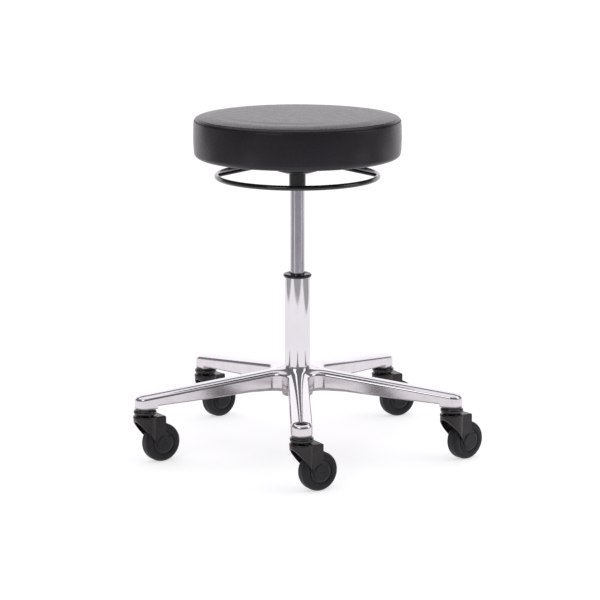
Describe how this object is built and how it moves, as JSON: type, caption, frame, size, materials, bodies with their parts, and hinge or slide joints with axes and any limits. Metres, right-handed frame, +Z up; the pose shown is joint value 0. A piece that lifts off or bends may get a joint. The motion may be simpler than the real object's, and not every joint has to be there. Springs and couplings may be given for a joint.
{
  "type": "adjustable swivel stool",
  "caption": "Round padded swivel stool with a gas spring column, a lift ring under the seat and a polished star base on swivel casters.",
  "frame": {"origin": "on the floor, on the column axis", "axes": "+Z up along the column, -Y roughly along the arm that points to the front"},
  "size_m": [0.6785, 0.6356, 0.665],
  "materials": {
    "polished_aluminium": "mirror polished casting",
    "polished_tube": "polished",
    "satin_cylinder": "satin ground",
    "bearing_steel": "bright",
    "zinc_steel": "zinc plated",
    "black_bush": "glossy moulded",
    "black_enamel": "semi gloss black",
    "gloss_black_wire": "gloss black",
    "caster_enamel": "satin black",
    "caster_plastic": "matt moulded",
    "caster_tyre": "matt",
    "black_rubber": "matt",
    "upholstery": "smooth matt synthetic leather",
    "foam": "open cell",
    "plywood": "raw",
    "black_cloth": "spunbonded"
  },
  "bodies": {
    "base": {"star_base": "polished_aluminium", "stand_tube": "polished_tube", "tube_end_plate": "bearing_steel", "bearing_lower_race": "bearing_steel", "bearing_balls": "bearing_steel", "guide_bush": "black_bush", "swivel_balls": "bearing_steel", "caster_1_stem": "caster_enamel", "caster_2_stem": "caster_enamel", "caster_3_stem": "caster_enamel", "caster_4_stem": "caster_enamel", "caster_5_stem": "caster_enamel"},
    "piston_rod": {"piston_rod": "bearing_steel", "piston_head": "bearing_steel", "bearing_upper_race": "bearing_steel", "rod_clip": "bearing_steel", "rubber_buffer": "black_rubber"},
    "seat": {"gas_cylinder": "satin_cylinder", "rod_guide": "black_bush", "seat_socket": "black_enamel", "seat_plate": "black_enamel", "screw_washers": "zinc_steel", "seat_screws": "zinc_steel", "tee_nuts": "zinc_steel", "seat_board": "plywood", "seat_foam": "foam", "seat_top_panel": "upholstery", "seat_side_band": "upholstery", "underside_cloth": "black_cloth"},
    "release_ring": {"release_ring": "gloss_black_wire", "ring_spokes": "gloss_black_wire", "release_disc": "black_enamel"},
    "release_button": {"release_button": "bearing_steel"},
    "caster_1_fork": {"caster_1_fork": "caster_enamel", "caster_1_axle": "bearing_steel", "caster_1_covers": "caster_plastic"},
    "caster_1_wheel": {"caster_1_tyre": "caster_tyre", "caster_1_wheel_core": "caster_plastic"},
    "caster_2_fork": {"caster_2_fork": "caster_enamel", "caster_2_axle": "bearing_steel", "caster_2_covers": "caster_plastic"},
    "caster_2_wheel": {"caster_2_tyre": "caster_tyre", "caster_2_wheel_core": "caster_plastic"},
    "caster_3_fork": {"caster_3_fork": "caster_enamel", "caster_3_axle": "bearing_steel", "caster_3_covers": "caster_plastic"},
    "caster_3_wheel": {"caster_3_tyre": "caster_tyre", "caster_3_wheel_core": "caster_plastic"},
    "caster_4_fork": {"caster_4_fork": "caster_enamel", "caster_4_axle": "bearing_steel", "caster_4_covers": "caster_plastic"},
    "caster_4_wheel": {"caster_4_tyre": "caster_tyre", "caster_4_wheel_core": "caster_plastic"},
    "caster_5_fork": {"caster_5_fork": "caster_enamel", "caster_5_axle": "bearing_steel", "caster_5_covers": "caster_plastic"},
    "caster_5_wheel": {"caster_5_tyre": "caster_tyre", "caster_5_wheel_core": "caster_plastic"}
  },
  "joints": [
    {"name": "seat_swivel", "type": "hinge", "parent": "base", "child": "piston_rod", "pos_m": [0, 0, 0.1215], "axis": [0, 0, 1], "continuous": true},
    {"name": "height_adjust", "type": "slide", "parent": "piston_rod", "child": "seat", "axis": [0, 0, 1], "range_m": [-0.13, 0]},
    {"name": "ring_tilt", "type": "hinge", "parent": "seat", "child": "release_ring", "pos_m": [0, -0.026, 0.5793], "axis": [-1, 0, 0], "range_deg": [0, 6], "stiffness_Nm_per_rad": 20, "springref_deg": -5.73},
    {"name": "button_press", "type": "slide", "parent": "seat", "child": "release_button", "axis": [0, 0, -1], "range_m": [0, 0.0032]},
    {"name": "caster_1_swivel", "type": "hinge", "parent": "base", "child": "caster_1_fork", "pos_m": [0.00817, -0.31189, 0.096], "axis": [0, 0, 1], "continuous": true},
    {"name": "caster_1_roll", "type": "hinge", "parent": "caster_1_fork", "child": "caster_1_wheel", "pos_m": [0.03761, -0.29489, 0.0375], "axis": [-0.5, 0.866, 0], "continuous": true},
    {"name": "caster_2_swivel", "type": "hinge", "parent": "base", "child": "caster_2_fork", "pos_m": [0.29915, -0.08861, 0.096], "axis": [0, 0, 1], "continuous": true},
    {"name": "caster_2_roll", "type": "hinge", "parent": "caster_2_fork", "child": "caster_2_wheel", "pos_m": [0.32613, -0.06792, 0.0375], "axis": [-0.6088, 0.7934, 0], "continuous": true},
    {"name": "caster_3_swivel", "type": "hinge", "parent": "base", "child": "caster_3_fork", "pos_m": [0.17672, 0.25713, 0.096], "axis": [0, 0, 1], "continuous": true},
    {"name": "caster_3_roll", "type": "hinge", "parent": "caster_3_fork", "child": "caster_3_wheel", "pos_m": [0.20715, 0.2723, 0.0375], "axis": [-0.4462, 0.8949, 0], "continuous": true},
    {"name": "caster_4_swivel", "type": "hinge", "parent": "base", "child": "caster_4_fork", "pos_m": [-0.18993, 0.24753, 0.096], "axis": [0, 0, 1], "continuous": true},
    {"name": "caster_4_roll", "type": "hinge", "parent": "caster_4_fork", "child": "caster_4_wheel", "pos_m": [-0.1637, 0.26915, 0.0375], "axis": [-0.6361, 0.7716, 0], "continuous": true},
    {"name": "caster_5_swivel", "type": "hinge", "parent": "base", "child": "caster_5_fork", "pos_m": [-0.2941, -0.10415, 0.096], "axis": [0, 0, 1], "continuous": true},
    {"name": "caster_5_roll", "type": "hinge", "parent": "caster_5_fork", "child": "caster_5_wheel", "pos_m": [-0.26543, -0.08588, 0.0375], "axis": [-0.5373, 0.8434, 0], "continuous": true}
  ],
  "couplings": [
    {"joint": "button_press", "follows": "ring_tilt", "m_per_rad": 0.03}
  ]
}
